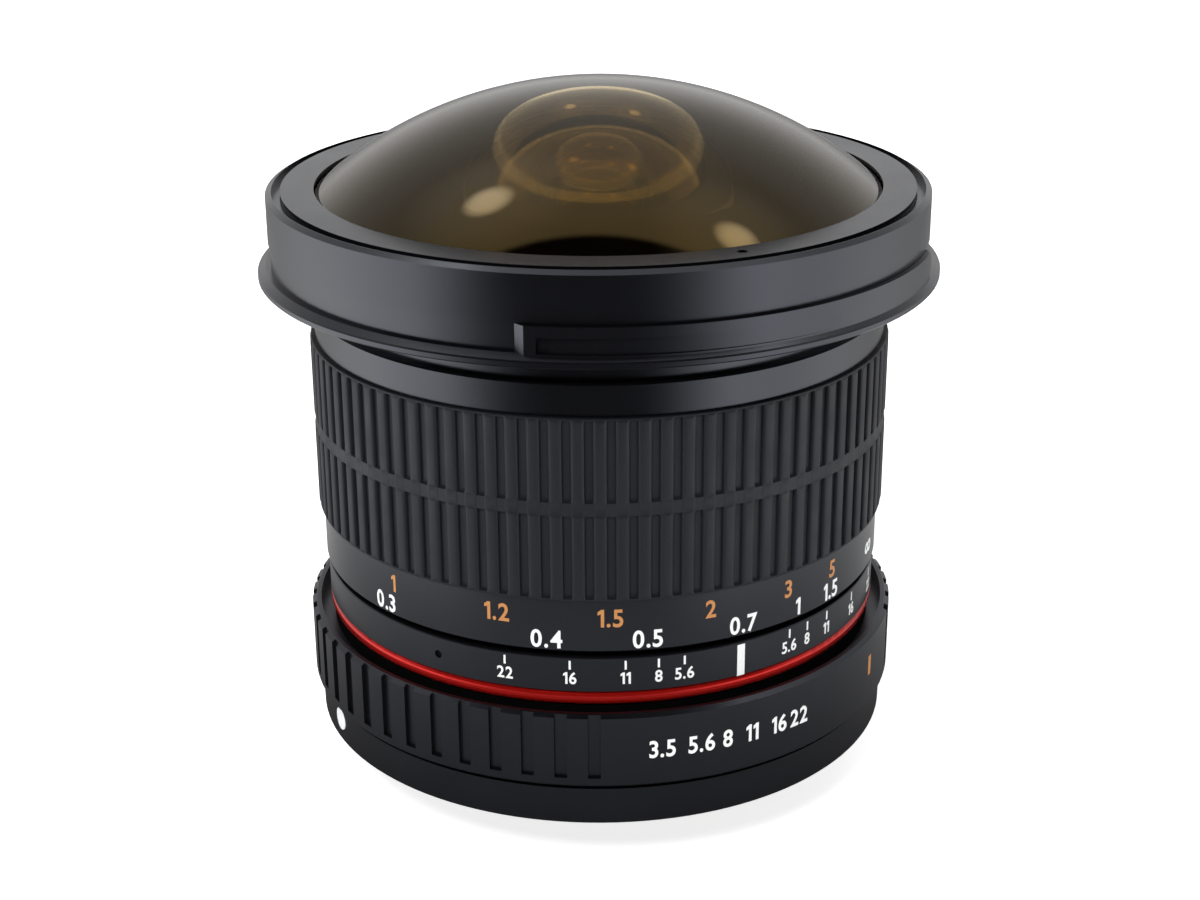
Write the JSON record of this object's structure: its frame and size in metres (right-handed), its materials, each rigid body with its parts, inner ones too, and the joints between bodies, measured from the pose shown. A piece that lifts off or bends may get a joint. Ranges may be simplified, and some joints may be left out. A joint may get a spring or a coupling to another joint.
{
  "type": "fisheye lens",
  "caption": "Manual fisheye lens with a domed front glass, ribbed focus grip, aperture ring and bayonet mount; the focus ring moves a glass group and the aperture ring an iris.",
  "frame": {"origin": "on the optical axis at the rear end of the bayonet", "axes": "+Z along the optical axis towards the front glass, -Y towards the index side that the picture shows"},
  "size_m": [0.075, 0.075, 0.078],
  "materials": {
    "black_anodised": "satin black anodised aluminium",
    "black_inside": "matt black anodised aluminium, inside the barrel",
    "red_anodised": "gloss red anodised aluminium",
    "rubber": "matt moulded rubber",
    "mount_chrome": "satin chromed brass",
    "black_plastic": "moulded matt black plastic",
    "steel": "plain steel",
    "black_steel": "blackened spring steel",
    "brass": "turned brass",
    "glass": "polished glass with an amber anti-reflection coating",
    "inner_glass": "polished coated glass"
  },
  "bodies": {
    "barrel": {"bayonet_mount": "mount_chrome", "bayonet_screws": "steel", "rear_cover": "black_plastic", "base_ring": "black_anodised", "main_barrel": "black_inside", "red_ring": "red_anodised", "index_ring": "black_anodised", "index_ring_screws": "black_steel", "click_ball": "steel", "click_spring": "steel", "click_spring_screw": "steel", "iris_housing": "black_inside", "iris_housing_screws": "steel", "iris_retaining_ring": "black_steel", "rear_cell": "black_inside", "rear_cell_screws": "steel", "lens_6": "inner_glass", "lens_7": "inner_glass", "lens_8": "inner_glass", "lens_9": "inner_glass", "lens_10": "inner_glass", "rear_spacer_front": "black_inside", "rear_spacer_back": "black_inside", "rear_retaining_ring": "black_inside", "front_barrel": "black_anodised", "front_barrel_screws": "steel", "front_cell": "black_inside", "front_cell_screws": "steel", "lens_2": "inner_glass", "lens_2_ring": "black_inside", "front_seal": "rubber", "lens_1": "glass", "front_ring": "black_anodised"},
    "focus_ring": {"focus_sleeve": "black_anodised", "rubber_grip": "rubber", "focus_cam_ring": "black_inside", "focus_drive_screws": "steel"},
    "focus_group": {"focus_cell": "black_inside", "cam_rollers": "brass", "lens_3": "inner_glass", "lens_4": "inner_glass", "lens_5": "inner_glass", "cell_ring_front": "black_inside", "cell_ring_back": "black_inside"},
    "aperture_control": {"aperture_ring": "black_anodised", "aperture_fork": "steel", "aperture_fork_screws": "steel"},
    "iris_drive": {"iris_actuator_ring": "black_inside", "stop_down_arm": "steel"},
    "blade_1": {"iris_blade_1": "black_steel"},
    "blade_2": {"iris_blade_2": "black_steel"},
    "blade_3": {"iris_blade_3": "black_steel"},
    "blade_4": {"iris_blade_4": "black_steel"},
    "blade_5": {"iris_blade_5": "black_steel"},
    "blade_6": {"iris_blade_6": "black_steel"}
  },
  "joints": [
    {"name": "focus_turn", "type": "hinge", "parent": "barrel", "child": "focus_ring", "pos_m": [0, 0, 0.041], "axis": [0, 0, 1], "range_deg": [-43, 74]},
    {"name": "focus_travel", "type": "slide", "parent": "barrel", "child": "focus_group", "axis": [0, 0, 1], "range_m": [-0.00045, 0.00077]},
    {"name": "aperture_turn", "type": "hinge", "parent": "barrel", "child": "aperture_control", "pos_m": [0, 0, 0.015], "axis": [0, 0, 1], "range_deg": [-11, 17]},
    {"name": "iris_drive_turn", "type": "hinge", "parent": "barrel", "child": "iris_drive", "pos_m": [0, 0, 0.033], "axis": [0, 0, 1], "range_deg": [-11, 17]},
    {"name": "blade_turn_1", "type": "hinge", "parent": "barrel", "child": "blade_1", "pos_m": [0.0156, 0, 0.0345], "axis": [0, 0, 1], "range_deg": [-9.5, 14.7]},
    {"name": "blade_turn_2", "type": "hinge", "parent": "barrel", "child": "blade_2", "pos_m": [0.0078, 0.01351, 0.0345], "axis": [0, 0, 1], "range_deg": [-9.5, 14.7]},
    {"name": "blade_turn_3", "type": "hinge", "parent": "barrel", "child": "blade_3", "pos_m": [-0.0078, 0.01351, 0.0345], "axis": [0, 0, 1], "range_deg": [-9.5, 14.7]},
    {"name": "blade_turn_4", "type": "hinge", "parent": "barrel", "child": "blade_4", "pos_m": [-0.0156, 0, 0.0345], "axis": [0, 0, 1], "range_deg": [-9.5, 14.7]},
    {"name": "blade_turn_5", "type": "hinge", "parent": "barrel", "child": "blade_5", "pos_m": [-0.0078, -0.01351, 0.0345], "axis": [0, 0, 1], "range_deg": [-9.5, 14.7]},
    {"name": "blade_turn_6", "type": "hinge", "parent": "barrel", "child": "blade_6", "pos_m": [0.0078, -0.01351, 0.0345], "axis": [0, 0, 1], "range_deg": [-9.5, 14.7]}
  ],
  "couplings": [
    {"joint": "focus_travel", "follows": "focus_turn", "m_per_rad": 0.00058765},
    {"joint": "iris_drive_turn", "follows": "aperture_turn", "ratio": 1},
    {"joint": "blade_turn_1", "follows": "aperture_turn", "ratio": 0.86},
    {"joint": "blade_turn_2", "follows": "aperture_turn", "ratio": 0.86},
    {"joint": "blade_turn_3", "follows": "aperture_turn", "ratio": 0.86},
    {"joint": "blade_turn_4", "follows": "aperture_turn", "ratio": 0.86},
    {"joint": "blade_turn_5", "follows": "aperture_turn", "ratio": 0.86},
    {"joint": "blade_turn_6", "follows": "aperture_turn", "ratio": 0.86}
  ]
}
